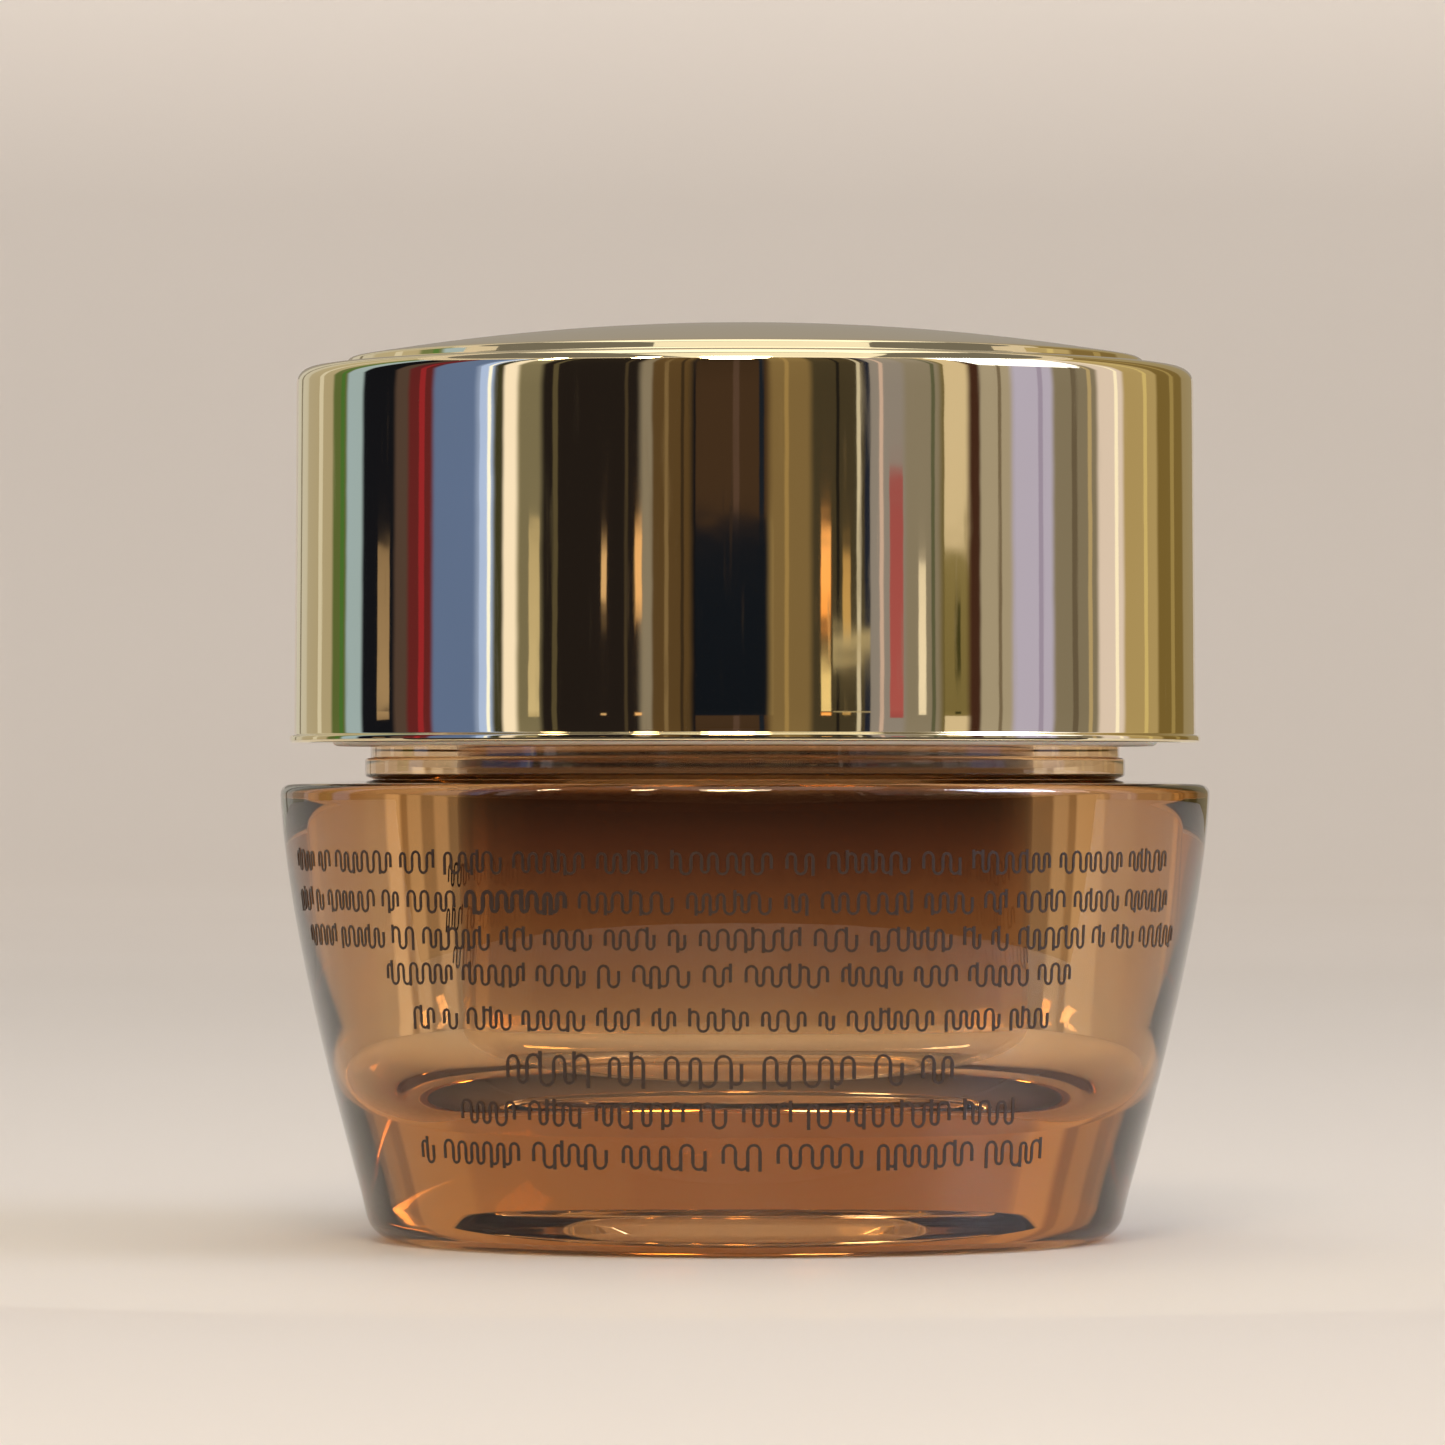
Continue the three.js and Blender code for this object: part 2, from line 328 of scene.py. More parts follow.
def mouldedPolypropylene():
    # Natural polypropylene: slightly waxy and milky, with a fine even mould texture.
    material, tree = newMaterial("moulded polypropylene, natural")
    place = addNode(tree, "ShaderNodeTexCoord").outputs["Object"]
    cloud = addNode(tree, "ShaderNodeTexNoise", {"Vector": place, "Scale": 1 / (6 * mm), "Detail": 3})
    colour = addNode(tree, "ShaderNodeMix", {
        "Factor": cloud.outputs["Fac"],
        colourA: linear(whiteParts["plastic"]), colourB: linear(whiteParts["plasticShade"])},
        data_type="RGBA")
    grain = addNode(tree, "ShaderNodeTexNoise", {
        "Vector": place, "Scale": 1 / (whiteParts["grain"] * mm), "Detail": 2})
    bump = addNode(tree, "ShaderNodeBump", {
        "Height": grain.outputs["Fac"], "Strength": 0.25, "Distance": 0.02 * mm})
    plastic = addNode(tree, "ShaderNodeBsdfPrincipled", {
        "Base Color": colour.outputs[mixed], "Roughness": 0.42, "IOR": 1.49, "Subsurface Weight": 0.15,
        "Subsurface Scale": 0.8 * mm, "Normal": bump.outputs[0]})
    addNode(tree, "ShaderNodeOutputMaterial", {"Surface": plastic.outputs[0]})
    return material


def polyethyleneFoam():
    # Closed-cell foam sheet: matt, with its skin dimpled by the cells under it.
    material, tree = newMaterial("expanded polyethylene sheet")
    place = addNode(tree, "ShaderNodeTexCoord").outputs["Object"]
    cells = addNode(tree, "ShaderNodeTexVoronoi", {
        "Vector": place, "Scale": 1 / (whiteParts["foamCell"] * mm)})
    shade = addNode(tree, "ShaderNodeMapRange", {
        "Value": cells.outputs["Distance"], "From Max": 0.9, "To Min": 1.0, "To Max": 0.9})
    colour = addNode(tree, "ShaderNodeMix", {
        "Factor": 1.0, colourA: linear(whiteParts["foam"]), colourB: shade.outputs[0]},
        data_type="RGBA", blend_type="MULTIPLY")
    bump = addNode(tree, "ShaderNodeBump", {
        "Height": cells.outputs["Distance"], "Strength": 0.5, "Distance": 0.05 * mm})
    foam = addNode(tree, "ShaderNodeBsdfPrincipled", {
        "Base Color": colour.outputs[mixed], "Roughness": 0.75, "Normal": bump.outputs[0]})
    addNode(tree, "ShaderNodeOutputMaterial", {"Surface": foam.outputs[0]})
    return material


# ---- jar: one pressing, with its neck, thread and lip

jar = {
    "recess": (7.7, 2.3, 0.68, 0.35),  # radius, depth and roundings of the push-up under the base
    "heel": (14.43, 0.94),            # radius of the corner, and its rounding
    "sideFoot": (14.68, 1.2),
    "sideBulge": (17.85, 12.3),
    "shoulder": (18, 17.6, 0.38),
    "neckFoot": (14.35, 17.78),
    "bead": (14.72, 17.92, 18.62),
    "collar": (14.5, 19.8),
    "neck": (13.4, 20.3),
    "lip": (25.5, 0.45),
    "mouthRadius": 11.4,
    "cavity": (11.0, 9.6),
    "floor": (10.9, 6.0, 3.25),
    "sideSteps": 30,
    "waveHeight": 0.02,               # mm, slow waves on the inside, where the plunger chilled the glass
    "waveLength": 5.5,
    "thread": {
        "start": 20.95, "lead": 3, "firstTurn": 0, "turns": 1.1, "runOut": 0.08,
        "depth": 1.1, "rootWidth": 1.5, "crestWidth": 0.7},
}


def makeJar(material):
    recessRadius, recessDepth, recessRounding, recessEdge = jar["recess"]
    beadRadius, beadLow, beadHigh = jar["bead"]
    lipHeight, lipRounding = jar["lip"]
    floorRadius, floorHeight, floorRounding = jar["floor"]
    widest = jar["shoulder"][:2]
    corners = [
        (0, recessDepth, 0),
        (recessRadius, recessDepth, recessRounding),
        (recessRadius + recessEdge, 0, recessEdge - 0.01),
        (jar["heel"][0], 0, jar["heel"][1]),
        *outlineCurve(jar["sideFoot"], jar["sideBulge"], widest, jar["sideSteps"]),
        jar["shoulder"],
        (*jar["neckFoot"], 0.06),
        (beadRadius, beadLow, 0.1),
        (beadRadius, beadHigh, 0.12),
        (jar["collar"][0], beadHigh, 0.05),
        (*jar["collar"], 0.15),
        (*jar["neck"], 0.2),
        (jar["neck"][0], lipHeight, lipRounding),
        (jar["mouthRadius"], lipHeight, lipRounding),
        (*jar["cavity"], 0.3),
        (floorRadius, floorHeight, floorRounding),
        (0, floorHeight, 0),
    ]
    bm = turnOutline(corners, jarFoot, fineBand=(jar["neck"][0], 64))
    raiseThread(bm, jar["thread"], jar["neck"][0], jarFoot)
    for vert in bm.verts:
        radius = math.hypot(vert.co.x, vert.co.y)
        inside = 1 < radius < jar["mouthRadius"] + 0.2 and vert.co.z > floorHeight - 0.1
        if inside:
            wave = noise.noise(Vector((vert.co.x, vert.co.y, vert.co.z * 0.3)) / jar["waveLength"])
            vert.co.x *= 1 + wave * jar["waveHeight"] / radius
            vert.co.y *= 1 + wave * jar["waveHeight"] / radius
    return finishPiece("jarGlass", bm, "jar", material, ["jar_body"])


# ---- cap: metallised shell, threaded insert, foam liner

shell = {
    "lip": (17.63, 0.3, 0.1),            # radius, height and rounding of the bottom lip
    "wall": (17.45, 17.36),              # radius at the foot and at the top
    "wallTop": (14.46, 0.55),            # height above the shell's foot, and the edge's rounding
    "panelFoot": (15.55, 14.54),
    "panelEdge": (15.35, 14.87, 0.12),
    "crown": 16.2,
    "bore": 16.3,
    "ceiling": (14.9, 13.0, 14.5),       # radius where its dome starts, height there and at the centre
    "domeSteps": 18,
}


def makeShell(material):
    lipRadius, lipHeight, lipRounding = shell["lip"]
    footRadius, topRadius = shell["wall"]
    wallTop, edgeRounding = shell["wallTop"]
    panelRadius, panelHeight, panelRounding = shell["panelEdge"]
    ceilingRadius, ceilingEdge, ceilingCentre = shell["ceiling"]
    ceiling = outlineCurve(
        (0, ceilingCentre), (ceilingRadius / 2, ceilingCentre), (ceilingRadius, ceilingEdge),
        shell["domeSteps"])
    dome = outlineCurve(
        (panelRadius, panelHeight), (panelRadius / 2, shell["crown"]), (0, shell["crown"]),
        shell["domeSteps"])
    corners = [
        (0, ceilingCentre, 0),
        *ceiling,
        (ceilingRadius, ceilingEdge, 0),
        (shell["bore"], ceilingEdge, 0.5),
        (shell["bore"], 0, lipRounding),
        (lipRadius, 0, lipRounding),
        (lipRadius, lipHeight, lipRounding),
        (footRadius, lipHeight, 0.05),
        (topRadius, wallTop, edgeRounding),
        (*shell["panelFoot"], 0.08),
        (panelRadius, panelHeight, panelRounding),
        *dome,
        (0, shell["crown"], 0),
    ]
    return finishPiece("capShell", turnOutline(corners, shellFoot), "cap", material, ["cap_shell"])


insert = {
    "bore": 14.75,
    "outside": 16.0,
    "plate": (7.52, 1.2),            # height of the plate's underside above the insert's foot, thickness
    "spacerRing": (9.6, 1.2, 13.82),  # radius, wall, height of its top
    "spacerRibs": (8, 1.0, 15.2, 12.52),
    "gripRibs": (16, 1.0, 16.2, 1.12),
    "thread": {
        "start": 0.37, "lead": 3, "firstTurn": 0.5, "turns": 0.95, "runOut": 0.08,
        "depth": -0.9, "rootWidth": 1.5, "crestWidth": 0.7},
}


def addRibs(bm, count, thickness, fromRadius, toRadius, low, high, firstAngle):
    for rib in range(count):
        bar = bmesh.ops.create_cube(bm, size=1)["verts"]
        bmesh.ops.scale(bm, vec=(toRadius - fromRadius, thickness, high - low), verts=bar)
        bmesh.ops.translate(bm, vec=((fromRadius + toRadius) / 2, 0, (low + high) / 2), verts=bar)
        edges = list({edge for vert in bar for edge in vert.link_edges})
        rounded = bmesh.ops.bevel(
            bm, geom=edges, offset=0.15, offset_type="OFFSET", affect="EDGES", segments=2, profile=0.5,
            material=-1)
        turned = {vert for face in rounded["faces"] for vert in face.verts}
        turned |= {vert for vert in bar if vert.is_valid}
        around = Matrix.Rotation(firstAngle + rib / count * fullTurn, 3, "Z")
        bmesh.ops.rotate(bm, cent=(0, 0, 0), matrix=around, verts=list(turned))


def makeInsert(material):
    plateLow, plateThickness = insert["plate"]
    plateHigh = plateLow + plateThickness
    ringRadius, ringWall, ringTop = insert["spacerRing"]
    corners = [
        (0, plateLow, 0),
        (insert["bore"], plateLow, 0.3),
        (insert["bore"], 0, 0.25),
        (insert["outside"], 0, 0.25),
        (insert["outside"], plateHigh, 0.25),
        (ringRadius, plateHigh, 0.15),
        (ringRadius, ringTop, 0.25),
        (ringRadius - ringWall, ringTop, 0.25),
        (ringRadius - ringWall, plateHigh, 0.15),
        (0, plateHigh, 0),
    ]
    bm = turnOutline(corners, insertFoot, fineBand=(insert["bore"], 90))
    raiseThread(bm, insert["thread"], insert["bore"], insertFoot)
    foot = insertFoot / mm
    ribCount, thickness, reach, top = insert["spacerRibs"]
    addRibs(
        bm, ribCount, thickness, ringRadius - ringWall / 2, reach, foot + plateHigh - 0.4, foot + top, 0)
    ribCount, thickness, reach, low = insert["gripRibs"]
    middle = (insert["bore"] + insert["outside"]) / 2
    addRibs(
        bm, ribCount, thickness, middle, reach, foot + low, foot + plateHigh - 0.25,
        fullTurn / ribCount / 2)
    return finishPiece("threadedInsert", bm, "cap", material, ["cap_insert"])


liner = {"radius": 14.4, "thickness": 1.0, "edge": 0.15, "sealGroove": (12.4, 0.9, 0.06)}


def makeLiner(material):
    radius, thickness = liner["radius"], liner["thickness"]
    grooveRadius, grooveWidth, grooveDepth = liner["sealGroove"]   # the ring that the jar's lip presses in
    corners = [
        (0, 0, 0),
        (grooveRadius - grooveWidth, 0, 0.1),
        (grooveRadius - grooveWidth / 2, grooveDepth, 0.1),
        (grooveRadius + grooveWidth / 2, grooveDepth, 0.1),
        (grooveRadius + grooveWidth, 0, 0.1),
        (radius, 0, liner["edge"]),
        (radius, thickness, liner["edge"]),
        (0, thickness, 0),
    ]
    return finishPiece("sealingLiner", turnOutline(corners, linerFoot), "liner", material, ["cap_liner"])


jarGlass = makeJar(amberGlass())
print("jar made")
capShell = makeShell(metallisedAbs())
threadedInsert = makeInsert(mouldedPolypropylene())
sealingLiner = makeLiner(polyethyleneFoam())
print("cap made")


# ---- print: rows of made-up marks that stand for small print and can't be read

inkPrint = {
    "colour": "#24150C",
    "colourThin": "#3A2418",
    "thickness": 0.025,    # mm, above the glass
    "bite": 0.01,
    "meshMark": 0.12,
    "stroke": 0.12,
    "bendStroke": 0.8,     # the bends are thinner than the uprights by this share
    "heavyStroke": 1.5,
    "wordGap": 0.8,        # share of a row's height
    "archWidths": (0.36, 0.44, 0.54),   # shares of a row's height from one upright to the next
    "bend": 0.22,          # share of a row's height that the bends take
    "longer": (0, 0, 0, 0, 0, 0.4, -0.35),   # shares by which an upright reaches up, or down
    # height of each row's middle line, half width in degrees, height of its low marks, stroke's share
    "rows": [
        (14.70, 74, 0.72, 1), (13.23, 75, 0.72, 1), (11.86, 73, 0.72, 1), (10.52, 52, 0.72, 1),
        (8.88, 48, 0.70, 1), (7.01, 33, 1.05, 1.15), (5.36, 42, 0.84, 1.1), (3.81, 52, 0.84, 1.1)],
    "heavyWord": (1, 5, 13),   # row, word, and its number of arches
}


jarSide = [jar["sideFoot"], *outlineCurve(jar["sideFoot"], jar["sideBulge"], jar["shoulder"][:2], 60)]


def jarRadius(height):
    # the outside of the jar at a height in mm
    for low, high in zip(jarSide, jarSide[1:]):
        if height <= high[1]:
            share = (height - low[1]) / (high[1] - low[1])
            return low[0] + share * (high[0] - low[0])
    return jarSide[-1][0]


def upright(bm, across, low, high, width):
    # an edge as wide as the stroke, drawn out upwards
    edge = bm.edges.new([bm.verts.new((across + side * width / 2, 0, low)) for side in (-1, 1)])
    moved = bmesh.ops.extrude_edge_only(bm, edges=[edge])["geom"]
    top = [part for part in moved if isinstance(part, bmesh.types.BMVert)]
    bmesh.ops.translate(bm, vec=(0, 0, high - low), verts=top)


def halfRing(bm, across, height, radius, width, above):
    start = [bm.verts.new((across + radius + side * width / 2, 0, height)) for side in (-1, 1)]
    bmesh.ops.spin(
        bm, geom=[*start, bm.edges.new(start)], cent=(across, 0, height), axis=(0, -1 if above else 1, 0),
        dvec=(0, 0, 0), angle=math.pi, steps=6,
        use_merge=False, use_normal_flip=False, use_duplicate=False)


def drawWave(left, low, size, arches, width):
    # A word is a plain wave: uprights joined in turn at the top and the foot, now and then a longer one.
    bm = bmesh.new()
    across = left
    for arch in range(arches + 1):
        reach = size * random.choice(inkPrint["longer"])
        step = size * random.choice(inkPrint["archWidths"])
        radius = step / 2
        bend = size * inkPrint["bend"]
        upright(bm, across, low + bend + min(reach, 0), low + size - bend + max(reach, 0), width)
        if arch < arches:
            above = arch % 2 == 0
            height = low + (size - bend if above else bend)
            halfRing(bm, across + radius, height, radius, width * inkPrint["bendStroke"], above)
            across += step
    word = bpy.data.meshes.new("word")
    bm.to_mesh(word)
    bm.free()
    return word, across - left


def screenInk():
    # Solvent screen ink: dense brown-black, satin, slightly uneven where the mesh let it through.
    material, tree = newMaterial("screen-printing ink, brown-black")
    place = addNode(tree, "ShaderNodeTexCoord").outputs["Object"]
    meshMarks = addNode(tree, "ShaderNodeTexNoise", {
        "Vector": place, "Scale": 1 / (inkPrint["meshMark"] * mm), "Detail": 2})
    colour = addNode(tree, "ShaderNodeMix", {
        "Factor": meshMarks.outputs["Fac"],
        colourA: linear(inkPrint["colour"]), colourB: linear(inkPrint["colourThin"])},
        data_type="RGBA")
    bump = addNode(tree, "ShaderNodeBump", {
        "Height": meshMarks.outputs["Fac"], "Strength": 0.3, "Distance": 0.01 * mm})
    ink = addNode(tree, "ShaderNodeBsdfPrincipled", {
        "Base Color": colour.outputs[mixed], "Roughness": 0.45, "IOR": 1.5, "Normal": bump.outputs[0]})
    addNode(tree, "ShaderNodeOutputMaterial", {"Surface": ink.outputs[0]})
    return material


def makePrint(material):
    bm = bmesh.new()
    for row, (middle, halfAngle, size, strokeShare) in enumerate(inkPrint["rows"]):
        reach = math.radians(halfAngle) * jarRadius(middle)
        at, word = -reach, 0
        while True:
            heavy = (row, word) == inkPrint["heavyWord"][:2]
            arches = inkPrint["heavyWord"][2] if heavy else random.randint(2, 11)
            width = inkPrint["stroke"] * strokeShare * (inkPrint["heavyStroke"] if heavy else 1)
            drawn, length = drawWave(at, middle - size / 2, size, arches, width)
            if at + length > reach:
                break
            bm.from_mesh(drawn)
            bpy.data.meshes.remove(drawn)
            at += length + size * inkPrint["wordGap"]
            word += 1
    outer = inkPrint["thickness"]
    bmesh.ops.recalc_face_normals(bm, faces=bm.faces)
    for face in bm.faces:
        if face.normal.y > 0:
            face.normal_flip()
    bmesh.ops.solidify(bm, geom=bm.faces[:], thickness=outer + inkPrint["bite"])
    frontLayer = min(vert.co.y for vert in bm.verts) + outer / 2
    for vert in bm.verts:
        radius = jarRadius(vert.co.z)
        angle = vert.co.x / radius
        depth = radius + (outer if vert.co.y < frontLayer else -inkPrint["bite"])
        vert.co = Vector((math.sin(angle) * depth, -math.cos(angle) * depth, vert.co.z))
    return finishPiece("jarPrint", bm, "jar", material, sharpAngle=60)


# ---- studio: a pale sweep, cards for the gold to mirror, and the lamps

studio = {
    "paper": "#E4E1DE",
    "paperShade": "#DFDBD7",
    "sweep": [(0, 0), (0.9, 0), (1.5, 0), (1.5, 0.5), (1.5, 1.7)],   # metres from the axis, and height
    "sweepBend": 0.42,
    # the paper's own glow takes over where no lamp reaches it: out along the table, then up the wall
    "reach": (0.5, 0.5, 2.5),
    # painted light: the first two stops light the paper under the jar, for the light that comes down
    # through the glass
    "glow": [(0.0, "#4C433B"), (0.006, "#4C433B"), (0.0072, "#000000"), (0.3, "#302D2A"), (0.7, "#55504B"),
             (0.77, "#625C56"), (0.82, "#857D75"), (0.88, "#A49C93"), (1.0, "#B0A89F")],
    "air": "#C4BFBA",
    "airStrength": 0.38,
}

# Cards stand in a ring round the table, some for the gold and some for the glass. Each is (from, to, low,
# high, colour at its foot, colour at its top, strength). The first two are in degrees round the jar from
# the camera's side, to the right, and the next two are in metres above the table.
goldCards = {
    "ring": 0.62,
    "fade": 2.2,   # degrees
    "list": [
        (-165, -148, -0.1, 0.6, "#CFC9BA", "#D7D1C3", 1), (-148, -128, -0.1, 0.6, "#B9AF98", "#C8BEA6", 1),
        (-128, -120, -0.1, 0.6, "#5E7040", "#7C8A60", 1), (-120, -112, -0.1, 0.6, "#A8C4E4", "#B5CFED", 1),
        (-112, -98, -0.1, 0.6, "#171924", "#14151C", 1), (-98, -93, -0.1, 0.6, "#594948", "#5C4E4C", 1),
        (-93, -84, -0.1, 0.6, "#6E2A30", "#622C36", 1), (-84, -70, -0.1, 0.6, "#6881C2", "#6C84C0", 1),
        (-70, -65, -0.1, 0.6, "#99B1F3", "#9AB4F6", 1.6), (-65, -62.5, -0.1, 0.6, "#43422F", "#3A3A2C", 1),
        (-62.5, -58, -0.1, 0.6, "#F3E9E8", "#F6EEEA", 1.3), (-58, -51, -0.1, 0.6, "#7E7866", "#A19A86", 1),
        (-51, -25, -0.1, 0.6, "#241F20", "#2C2624", 1), (-25, -22.6, -0.1, 0.6, "#948C86", "#8E8478", 1),
        (-22.6, -12.3, -0.1, 0.6, "#5E4A32", "#6C563A", 1),
        (-12.3, 6.9, -0.1, 0.053, "#0E121C", "#161C29", 1),
        (-12.3, 6.9, 0.053, 0.6, "#4A382C", "#33281F", 1), (6.9, 17.2, -0.1, 0.6, "#85704F", "#97815C", 1),
        (17.2, 31.5, -0.1, 0.6, "#453E32", "#574D3C", 1), (31.5, 41, -0.1, 0.6, "#96929C", "#A8A2A8", 1),
        (41, 50.6, -0.1, 0.6, "#8F8880", "#A39C9A", 1), (50.6, 58.4, -0.1, 0.05, "#6F6440", "#8C7F56", 1),
        (50.6, 58.4, 0.05, 0.6, "#E3D2BA", "#EAD9BE", 1), (58.4, 61.3, -0.1, 0.6, "#472D25", "#4C3028", 1),
        (61.3, 71.4, -0.1, 0.6, "#B0A8A0", "#C0B8B2", 1),
        (71.4, 84.5, -0.1, 0.6, "#BFBEF3", "#C2C2F2", 1.05),
        (84.5, 101, -0.1, 0.6, "#8A8278", "#9A948F", 1), (101, 112, -0.1, 0.6, "#EEE2EE", "#EEE4EC", 1),
        (112, 130, -0.1, 0.6, "#B8A478", "#C6B48A", 1), (130, 150, -0.1, 0.6, "#7E6A3C", "#8A764C", 1),
        (150, 165, -0.1, 0.6, "#9E8E6C", "#AA9C7A", 1), (165, 195, 0.08, 0.6, "#A0978A", "#A8A094", 1)],
    # small bright things, just in front of the wide cards
    "glints": [
        (-106, -101, 0.03, 0.048, "#A58D74", "#8C7660", 1.2),
        (-55.5, -52.5, 0.02, 0.052, "#D8C8A8", "#B8A888", 1.2),
        (-36, -34.6, 0.044, 0.05, "#F3C89A", "#F3C89A", 1),
        (-27.4, -25.6, 0.043, 0.052, "#F3BE8A", "#F3BE8A", 1.2),
        (18.5, 21, 0.042, 0.052, "#F39C4E", "#F3B070", 1.6),
        (18.5, 21, 0.031, 0.038, "#F3D8A0", "#F3D8A0", 1.2),
        (24, 26, 0.041, 0.05, "#D8B070", "#C8A068", 1), (21.5, 31, 0.038, 0.041, "#C8B898", "#C8B898", 1),
        (36, 39.5, 0.03, 0.058, "#BA5F66", "#A85860", 1),
        (43.5, 45.5, 0.031, 0.048, "#F3E8DF", "#E8DCD0", 1.2),
        (-158, -156, -0.1, 0.6, "#8A8270", "#8A8270", 1), (-139, -136, -0.1, 0.6, "#E0DACC", "#E8E2D6", 1),
        (-124.5, -122.5, -0.1, 0.6, "#4C7A3C", "#5E8A4C", 1),
        (-90, -88, -0.1, 0.6, "#A8303C", "#8E2C38", 1),
        (-67.6, -66.6, -0.1, 0.6, "#F0F4FF", "#F0F4FF", 1.5),
        (-49, -47.6, -0.1, 0.6, "#5C5442", "#6A6350", 1),
        (-30, -29.2, -0.1, 0.6, "#4A4034", "#544A3E", 1), (-20, -19, -0.1, 0.6, "#8A7456", "#7E6A4E", 1),
        (-16, -15.2, -0.1, 0.6, "#3A2E22", "#46382A", 1), (-3, -1.5, 0.053, 0.6, "#5E4A44", "#4A3C36", 1),
        (3.4, 4.6, 0.053, 0.6, "#1C2434", "#222A3A", 1), (9.6, 10.6, -0.1, 0.6, "#A88E60", "#B0966A", 1),
        (22.4, 23.2, -0.1, 0.6, "#1E1C1C", "#2A2624", 1),
        (27.6, 28.6, -0.1, 0.6, "#D8D0C6", "#C8C0B6", 1.1),
        (29.6, 31, -0.1, 0.6, "#20263C", "#2C3046", 1), (33.4, 34.4, -0.1, 0.6, "#D0B8BC", "#DCC4C6", 1.1),
        (47, 48, -0.1, 0.6, "#5E6250", "#6C7060", 1), (53.4, 55, 0.036, 0.044, "#3E3C20", "#3E3C20", 1),
        (66, 67, -0.1, 0.6, "#7C7064", "#867A6E", 1), (78.5, 80, -0.1, 0.6, "#A8A2D6", "#B2ACDC", 1),
        (90, 92, -0.1, 0.6, "#6C6258", "#7A7066", 1), (96, 97.5, -0.1, 0.6, "#C0AE8E", "#CABA9C", 1),
        (107, 108.5, -0.1, 0.6, "#FFFAF6", "#FFFAF6", 1.2), (121, 123, -0.1, 0.6, "#DCC88E", "#E2D09A", 1),
        (138, 141, -0.1, 0.6, "#A4905C", "#B09C6A", 1)],
}

# painted shade: a dark card low down in front, seen only in reflections, for the shade on the table that
# the upright part of the jar's wall mirrors
frontShadeCard = {"ring": 0.05, "list": [(-80, 80, 0, 0.018, "#8C8078", "#060504", 1)]}

glassCards = {
    "ring": 0.8,
    "list": [
        (-100, 100, -0.1, 0.7, "#8C847C", "#B8B0A8", 1), (100, 119, -0.1, 0.7, "#A09488", "#B8AEA4", 1),
        (119, 127, -0.1, 0.7, "#D6D0CA", "#E0DAD4", 1), (127, 131, -0.1, 0.7, "#B4A898", "#C8BEB0", 1),
        (131, 148, -0.1, 0.7, "#E6E0D8", "#EDE8E2", 1.05), (148, 170, -0.1, 0.7, "#CFC4B8", "#E0D8CE", 1),
        (170, 200, -0.1, 0.7, "#C8BAAC", "#DCD0C4", 1), (200, 213, -0.1, 0.7, "#CCC2B6", "#E0D8CE", 1),
        (213, 222, -0.1, 0.7, "#F0E8DC", "#F4EEE6", 1.15), (222, 226, -0.1, 0.7, "#B8A890", "#C8BAA6", 1),
        (226, 234, -0.1, 0.7, "#E2D8CA", "#E8E0D4", 1), (234, 241, -0.1, 0.7, "#B0A494", "#C0B4A4", 1),
        (241, 248, -0.1, 0.7, "#D8CCBE", "#DCD2C4", 1), (248, 260, -0.1, 0.7, "#A0968A", "#B4AAA0", 1)],
}

# Lamps: azimuth from the camera's side to the right, elevation, distance in metres, width, height, colour,
# watts, and what it is there for: "all" lights the table, "shine" only mirrors in gold and glass, and
# "through" only shows through the glass.
lamps = [
    ("keyWarm", -3, 46, 0.45, 0.11, 0.11, "#FFE8C8", 0.62, "all"),
    ("windowCool", 78, 32, 0.6, 0.36, 0.36, "#DCE6FF", 1.0, "all"),
    ("fillTop", 180, 74, 0.5, 0.3, 0.3, "#FFFAF2", 0.42, "all"),
    ("fillFront", 10, 66, 0.38, 0.26, 0.26, "#FFFAF0", 0.2, "all"),
    ("shineWarm", -4, 42, 0.6, 0.1, 0.2, "#FFE4B4", 3, "shine"),
    ("shineWarmLeft", -30, 46, 0.6, 0.045, 0.1, "#FFE2B0", 0.8, "shine"),
    ("shineWarmFarLeft", -58, 43, 0.6, 0.035, 0.1, "#FFE6C2", 0.5, "shine"),
    ("shineCool", 74, 33, 0.65, 0.26, 0.3, "#D4E2FF", 6, "shine"),
    ("throughWarm", 170, 44, 0.6, 0.06, 0.14, "#FFE8B4", 2.6, "through"),
    ("throughCool", 189, 42, 0.6, 0.06, 0.14, "#D0DEFF", 2.8, "through"),
]


def sweepPaper():
    # Matt photographer's paper: faint mottle, painted light under the jar, and a glow of its own further
    # off, where no lamp reaches.
    material, tree = newMaterial("matt background paper")
    place = addNode(tree, "ShaderNodeTexCoord").outputs["Object"]
    mottle = addNode(tree, "ShaderNodeTexNoise", {"Vector": place, "Scale": 6, "Detail": 2})
    colour = addNode(tree, "ShaderNodeMix", {
        "Factor": mottle.outputs["Fac"],
        colourA: linear(studio["paper"]), colourB: linear(studio["paperShade"])}, data_type="RGBA")
    stretched = addNode(tree, "ShaderNodeMapping", {"Vector": place, "Scale": studio["reach"]})
    away = addNode(tree, "ShaderNodeVectorMath", {0: stretched.outputs[0]}, operation="LENGTH")
    glow = colourRamp(tree, away.outputs["Value"], studio["glow"])
    paper = addNode(tree, "ShaderNodeBsdfPrincipled", {
        "Base Color": colour.outputs[mixed], "Roughness": 0.5, "Emission Color": glow.outputs["Color"],
        "Emission Strength": 1.0})
    addNode(tree, "ShaderNodeOutputMaterial", {"Surface": paper.outputs[0]})
    return material


def stagePiece(name, bm, material):
    mesh = bpy.data.meshes.new(name)
    bm.to_mesh(mesh)
    bm.free()
    piece = bpy.data.objects.new(name, mesh)
    scene.collection.objects.link(piece)
    mesh.materials.append(material)
    for face in mesh.polygons:
        face.use_smooth = True
    return piece


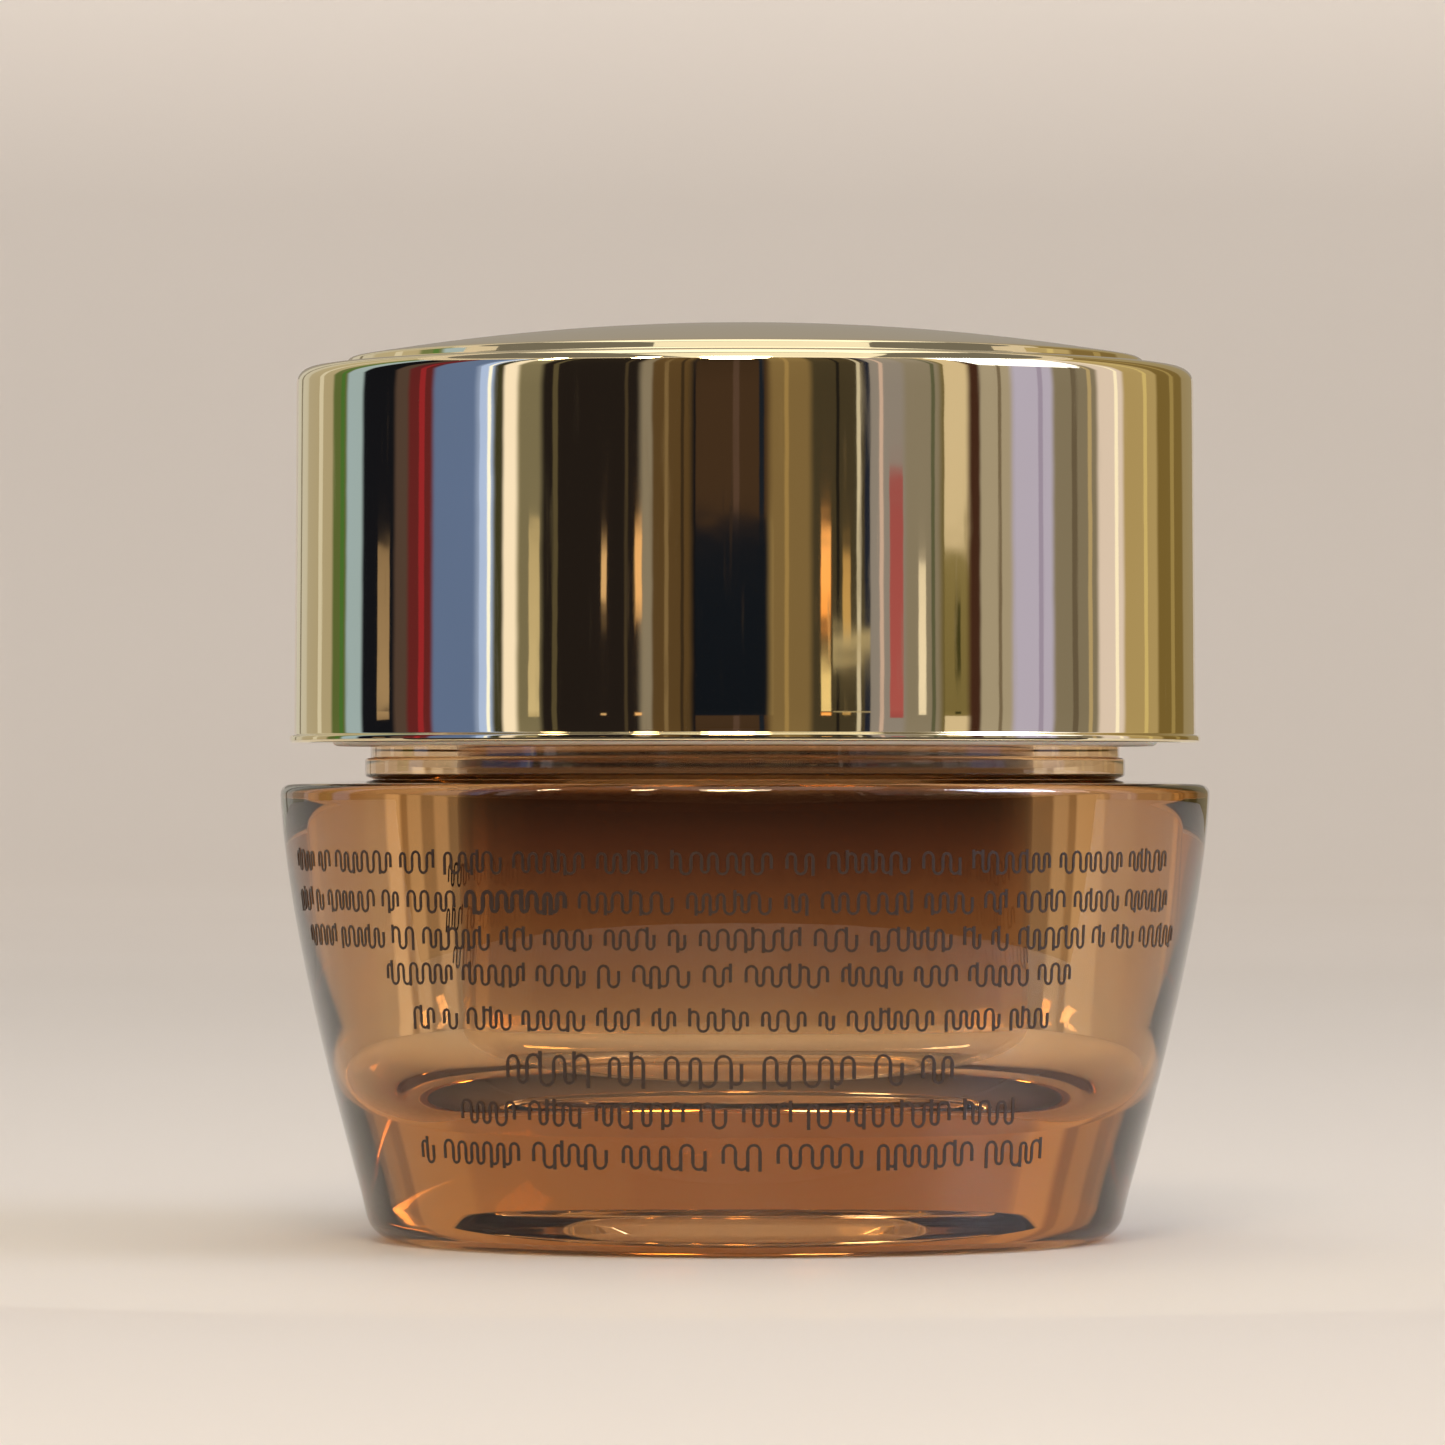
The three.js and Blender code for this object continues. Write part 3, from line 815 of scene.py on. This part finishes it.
def makeSweep():
    bm = bmesh.new()
    verts = [bm.verts.new((radius, 0, height)) for radius, height in studio["sweep"]]
    for pair in zip(verts, verts[1:]):
        bm.edges.new(pair)
    bmesh.ops.bevel(
        bm, geom=verts[2:3], offset=studio["sweepBend"], offset_type="OFFSET", affect="VERTICES",
        segments=24, profile=0.5, material=-1, clamp_overlap=True)
    bmesh.ops.spin(
        bm, geom=bm.verts[:] + bm.edges[:], cent=(0, 0, 0), axis=(0, 0, 1), dvec=(0, 0, 0),
        angle=fullTurn, steps=96, use_merge=True, use_normal_flip=False, use_duplicate=False)
    bmesh.ops.remove_doubles(bm, verts=bm.verts, dist=0.0001)
    bmesh.ops.recalc_face_normals(bm, faces=bm.faces)
    stagePiece("sweep", bm, sweepPaper())


def makeCard(name, ring, card, nextCard, forGlass):
    # a card's far side fades into the next card
    fromDegrees, toDegrees, low, high, footColour, topColour, strength = card
    material, tree = newMaterial(name)
    place = addNode(tree, "ShaderNodeTexCoord").outputs["Object"]
    height = addNode(tree, "ShaderNodeSeparateXYZ", {0: place}).outputs["Z"]
    rise = addNode(tree, "ShaderNodeMapRange", {
        "Value": height, "From Min": max(low, 0), "From Max": min(high, 0.4)})
    own = addNode(tree, "ShaderNodeMix", {
        "Factor": rise.outputs[0], colourA: linear(footColour), colourB: linear(topColour)},
        data_type="RGBA")
    following = addNode(tree, "ShaderNodeMix", {
        "Factor": rise.outputs[0], colourA: linear(nextCard[4]), colourB: linear(nextCard[5])},
        data_type="RGBA")
    across = addNode(tree, "ShaderNodeSeparateXYZ", {0: addNode(tree, "ShaderNodeMapping", {
        "Vector": place, "Rotation": (0, 0, -math.radians(toDegrees))}).outputs[0]})
    fade = addNode(tree, "ShaderNodeMapRange", {
        "Value": across.outputs["X"], "To Max": 1.0, "From Max": 0.0,
        "From Min": -ring * math.radians(min(0.4 * (toDegrees - fromDegrees), goldCards["fade"]))},
        interpolation_type="SMOOTHSTEP")
    colour = addNode(tree, "ShaderNodeMix", {
        "Factor": fade.outputs[0], colourA: own.outputs[mixed], colourB: following.outputs[mixed]},
        data_type="RGBA")
    glow = addNode(tree, "ShaderNodeEmission", {"Color": colour.outputs[mixed], "Strength": strength})
    addNode(tree, "ShaderNodeOutputMaterial", {"Surface": glow.outputs[0]})
    start = math.radians(fromDegrees)
    bm = bmesh.new()
    ends = [bm.verts.new((math.sin(start) * ring, -math.cos(start) * ring, edge)) for edge in (low, high)]
    bmesh.ops.spin(
        bm, geom=[*ends, bm.edges.new(ends)], cent=(0, 0, 0), axis=(0, 0, 1), dvec=(0, 0, 0),
        angle=math.radians(toDegrees - fromDegrees), steps=max(2, round((toDegrees - fromDegrees) / 4)),
        use_merge=False, use_normal_flip=False, use_duplicate=False)
    panel = stagePiece(name, bm, material)
    panel.visible_camera = False
    panel.visible_diffuse = False
    panel.visible_shadow = False
    panel.visible_transmission = forGlass
    panel.visible_glossy = not forGlass


def makeLamp(name, azimuth, elevation, distance, width, height, colour, watts, purpose):
    lamp = bpy.data.objects.new(name, bpy.data.lights.new(name, "AREA"))
    scene.collection.objects.link(lamp)
    lamp.data.shape = "RECTANGLE"
    lamp.data.size = width
    lamp.data.size_y = height
    lamp.data.color = linear(colour)[:3]
    lamp.data.energy = watts
    lamp.visible_diffuse = purpose == "all"
    lamp.visible_glossy = purpose != "through"
    lamp.visible_camera = False
    turn, rise = math.radians(azimuth), math.radians(elevation)
    lamp.location = distance * Vector((
        math.sin(turn) * math.cos(rise), -math.cos(turn) * math.cos(rise), math.sin(rise)))
    lamp.rotation_euler = (-lamp.location).to_track_quat("-Z", "Y").to_euler()


def makeStudio():
    makeSweep()
    for name, ring, row, forGlass in (
            ("goldCard", goldCards["ring"], goldCards["list"], False),
            ("goldGlint", goldCards["ring"] - 0.01, goldCards["glints"], False),
            # painted shade: the dark card in front, seen only in reflections
            ("paintedShadeCard", frontShadeCard["ring"], frontShadeCard["list"], False),
            ("glassCard", glassCards["ring"], glassCards["list"], True)):
        for number, card in enumerate(row):
            touching = [other for other in row if other[0] == card[1] and other[2] <= card[2]]
            makeCard(f"{name}{number}", ring, card, (touching or [card])[-1], forGlass)
    for lamp in lamps:
        makeLamp(*lamp)
    world = bpy.data.worlds.new("studio air")
    world.use_nodes = True
    world.node_tree.nodes["Background"].inputs["Color"].default_value = linear(studio["air"])
    world.node_tree.nodes["Background"].inputs["Strength"].default_value = studio["airStrength"]
    scene.world = world
    scene.view_settings.view_transform = "Standard"


jarPrint = makePrint(screenInk())
print("print made")
makeStudio()
print("studio made")
